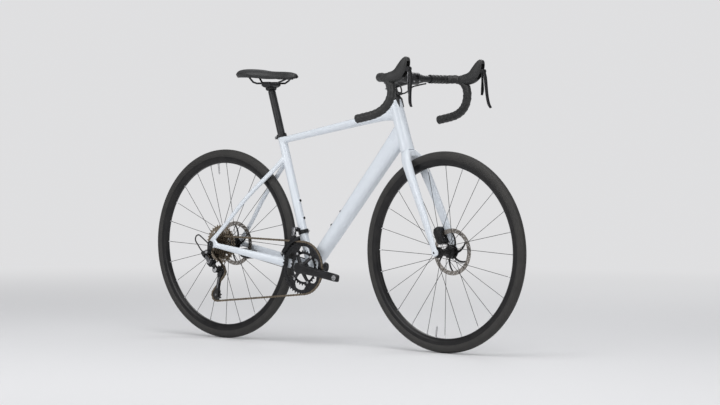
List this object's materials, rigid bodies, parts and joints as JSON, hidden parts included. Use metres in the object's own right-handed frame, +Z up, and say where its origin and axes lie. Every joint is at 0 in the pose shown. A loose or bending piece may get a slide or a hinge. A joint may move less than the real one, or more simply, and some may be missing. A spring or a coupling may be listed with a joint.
{
  "type": "road bike",
  "caption": "Road bike with a drop handlebar, disc brakes and derailleur gears; it steers, and its wheels, cranks, levers, derailleurs, saddle and seatpost move.",
  "frame": {"origin": "on the ground, midway between the two wheel axles, in the bike's middle plane", "axes": "+X points to the front wheel, +Y to the rider's left, +Z up; the chain runs on the -Y side"},
  "size_m": [1.718, 0.471, 1.0051],
  "materials": {
    "white_paint": "gloss white with a cool cast",
    "black_alloy": "satin black anodised",
    "rim": "satin black anodised",
    "hub_and_spokes": "satin black",
    "tyre": "matt black rubber",
    "brushed_steel": "brushed",
    "chain_steel": "warm grey, oiled",
    "black_plastic": "matt",
    "hose": "satin black",
    "bar_tape": "matt foam tape in overlapping turns",
    "hood_rubber": "matt",
    "saddle_cover": "smooth synthetic leather"
  },
  "bodies": {
    "frame": {"frame": "white_paint", "derailleur_hanger": "black_alloy", "seat_collar": "white_paint", "upper_headset_bearing": "brushed_steel", "lower_headset_bearing": "brushed_steel", "headset_cover": "black_plastic", "rear_axle": "black_alloy", "bottom_bracket": "black_alloy", "rd_knuckle": "black_alloy", "rd_housing": "hose", "fd_clamp": "black_alloy", "rear_caliper": "black_alloy", "chain": "chain_steel"},
    "steering": {"fork": "white_paint", "front_axle": "black_alloy", "steerer_spacer": "black_plastic", "stem": "black_alloy", "stem_faceplate": "black_alloy", "stem_top_cap": "black_alloy", "handlebar": "black_alloy", "left_bar_tape": "bar_tape", "right_bar_tape": "bar_tape", "left_hood": "hood_rubber", "right_hood": "hood_rubber", "handlebar_hoses": "hose", "front_caliper": "black_alloy"},
    "front_wheel": {"front_tyre": "tyre", "front_rim": "rim", "front_hub": "hub_and_spokes", "front_rotor": "brushed_steel"},
    "rear_wheel": {"rear_tyre": "tyre", "rear_rim": "rim", "rear_hub": "hub_and_spokes", "rear_rotor": "brushed_steel"},
    "cassette": {"cassette": "chain_steel"},
    "crankset": {"right_crank": "black_alloy", "left_crank": "black_alloy", "outer_chainring": "black_alloy", "inner_chainring": "black_alloy"},
    "seatpost": {"seatpost": "black_alloy"},
    "saddle_clamp": {"saddle_clamp": "black_alloy"},
    "saddle": {"saddle_rails": "brushed_steel", "saddle_shell": "black_plastic", "saddle_padding": "saddle_cover"},
    "left_brake_lever": {"left_brake_lever": "black_alloy"},
    "right_brake_lever": {"right_brake_lever": "black_alloy"},
    "left_shift_lever": {"left_shift_lever": "black_alloy"},
    "right_shift_lever": {"right_shift_lever": "black_alloy"},
    "front_inner_pad": {"front_inner_pad": "brushed_steel"},
    "front_outer_pad": {"front_outer_pad": "brushed_steel"},
    "rear_inner_pad": {"rear_inner_pad": "brushed_steel"},
    "rear_outer_pad": {"rear_outer_pad": "brushed_steel"},
    "rd_outer_link": {"rd_outer_link": "black_alloy"},
    "rd_inner_link": {"rd_inner_link": "black_alloy"},
    "rd_p_knuckle": {"rd_p_knuckle": "black_alloy"},
    "rd_cage": {"rd_cage": "black_alloy"},
    "guide_pulley": {"guide_pulley": "black_plastic"},
    "tension_pulley": {"tension_pulley": "black_plastic"},
    "fd_link": {"fd_link": "brushed_steel"},
    "fd_cage": {"fd_cage": "brushed_steel"}
  },
  "joints": [
    {"name": "steering_turn", "type": "hinge", "parent": "frame", "child": "steering", "pos_m": [0.34665, 0, 0.68408], "axis": [-0.3173, 0, 0.9483], "range_deg": [-60, 60]},
    {"name": "front_wheel_spin", "type": "hinge", "parent": "steering", "child": "front_wheel", "pos_m": [0.5135, 0, 0.343], "axis": [0, 1, 0], "continuous": true},
    {"name": "rear_wheel_spin", "type": "hinge", "parent": "frame", "child": "rear_wheel", "pos_m": [-0.5135, 0, 0.343], "axis": [0, 1, 0], "continuous": true},
    {"name": "crank_spin", "type": "hinge", "parent": "frame", "child": "crankset", "pos_m": [-0.09502, 0, 0.27], "axis": [0, 1, 0], "continuous": true, "deforming": ["chain"]},
    {"name": "cassette_spin", "type": "hinge", "parent": "frame", "child": "cassette", "pos_m": [-0.5135, 0, 0.343], "axis": [0, 1, 0], "continuous": true},
    {"name": "seatpost_slide", "type": "slide", "parent": "frame", "child": "seatpost", "axis": [-0.2957, 0, 0.9553], "range_m": [-0.05, 0.1]},
    {"name": "saddle_tilt", "type": "hinge", "parent": "seatpost", "child": "saddle_clamp", "pos_m": [-0.29226, 0, 0.90717], "axis": [0, 1, 0], "range_deg": [-10, 10]},
    {"name": "saddle_slide", "type": "slide", "parent": "saddle_clamp", "child": "saddle", "axis": [1, 0, 0], "range_m": [-0.02, 0.02]},
    {"name": "left_brake_pull", "type": "hinge", "parent": "steering", "child": "left_brake_lever", "pos_m": [0.5142, 0.201, 0.96099], "axis": [0, 1, 0], "range_deg": [0, 28], "stiffness_Nm_per_rad": 0.8, "springref_deg": -17.19},
    {"name": "right_brake_pull", "type": "hinge", "parent": "steering", "child": "right_brake_lever", "pos_m": [0.5142, -0.201, 0.96099], "axis": [0, 1, 0], "range_deg": [0, 28], "stiffness_Nm_per_rad": 0.8, "springref_deg": -17.19},
    {"name": "left_shift_push", "type": "hinge", "parent": "left_brake_lever", "child": "left_shift_lever", "pos_m": [0.5123, 0.1985, 0.94699], "axis": [-1, 0, 0], "range_deg": [0, 15], "stiffness_Nm_per_rad": 0.3, "springref_deg": -11.46},
    {"name": "right_shift_push", "type": "hinge", "parent": "right_brake_lever", "child": "right_shift_lever", "pos_m": [0.5123, -0.1985, 0.94699], "axis": [1, 0, 0], "range_deg": [0, 15], "stiffness_Nm_per_rad": 0.3, "springref_deg": -11.46},
    {"name": "front_inner_pad_slide", "type": "slide", "parent": "steering", "child": "front_inner_pad", "axis": [0, 1, 0], "range_m": [0, 0.0005]},
    {"name": "front_outer_pad_slide", "type": "slide", "parent": "steering", "child": "front_outer_pad", "axis": [0, -1, 0], "range_m": [0, 0.0005]},
    {"name": "rear_inner_pad_slide", "type": "slide", "parent": "frame", "child": "rear_inner_pad", "axis": [0, 1, 0], "range_m": [0, 0.0005]},
    {"name": "rear_outer_pad_slide", "type": "slide", "parent": "frame", "child": "rear_outer_pad", "axis": [0, -1, 0], "range_m": [0, 0.0005]},
    {"name": "rd_outer_link_turn", "type": "hinge", "parent": "frame", "child": "rd_outer_link", "pos_m": [-0.5385, -0.0755, 0.3015], "axis": [0.6, 0, 0.8], "range_deg": [-13, 41]},
    {"name": "rd_inner_link_turn", "type": "hinge", "parent": "frame", "child": "rd_inner_link", "pos_m": [-0.5385, -0.0625, 0.3015], "axis": [0.6, 0, 0.8], "range_deg": [-13, 41]},
    {"name": "rd_p_knuckle_turn", "type": "hinge", "parent": "rd_outer_link", "child": "rd_p_knuckle", "pos_m": [-0.50843, -0.08918, 0.27895], "axis": [0.6, 0, 0.8], "range_deg": [-41, 13]},
    {"name": "rd_cage_turn", "type": "hinge", "parent": "rd_p_knuckle", "child": "rd_cage", "pos_m": [-0.4935, -0.05215, 0.2515], "axis": [0, -1, 0], "range_deg": [-64, 48], "stiffness_Nm_per_rad": 0.5},
    {"name": "guide_pulley_spin", "type": "hinge", "parent": "rd_cage", "child": "guide_pulley", "pos_m": [-0.4875, -0.05215, 0.24439], "axis": [0, 1, 0], "continuous": true},
    {"name": "tension_pulley_spin", "type": "hinge", "parent": "rd_cage", "child": "tension_pulley", "pos_m": [-0.50817, -0.05215, 0.15885], "axis": [0, 1, 0], "continuous": true},
    {"name": "fd_link_turn", "type": "hinge", "parent": "frame", "child": "fd_link", "pos_m": [-0.14202, -0.04, 0.41], "axis": [1, 0, 0], "range_deg": [-2, 12.5]},
    {"name": "fd_cage_turn", "type": "hinge", "parent": "fd_link", "child": "fd_cage", "pos_m": [-0.14202, -0.0435, 0.3852], "axis": [1, 0, 0], "range_deg": [-12.5, 2]}
  ],
  "couplings": [
    {"joint": "cassette_spin", "follows": "crank_spin", "ratio": 3.0667},
    {"joint": "guide_pulley_spin", "follows": "crank_spin", "ratio": -4.1818},
    {"joint": "tension_pulley_spin", "follows": "crank_spin", "ratio": 4.1818},
    {"joint": "front_inner_pad_slide", "follows": "left_brake_pull", "m_per_rad": 0.0010231},
    {"joint": "front_outer_pad_slide", "follows": "left_brake_pull", "m_per_rad": 0.0010231},
    {"joint": "rear_inner_pad_slide", "follows": "right_brake_pull", "m_per_rad": 0.0010231},
    {"joint": "rear_outer_pad_slide", "follows": "right_brake_pull", "m_per_rad": 0.0010231},
    {"joint": "rd_inner_link_turn", "follows": "rd_outer_link_turn", "ratio": 1},
    {"joint": "rd_p_knuckle_turn", "follows": "rd_outer_link_turn", "ratio": -1},
    {"joint": "fd_cage_turn", "follows": "fd_link_turn", "ratio": -1}
  ]
}
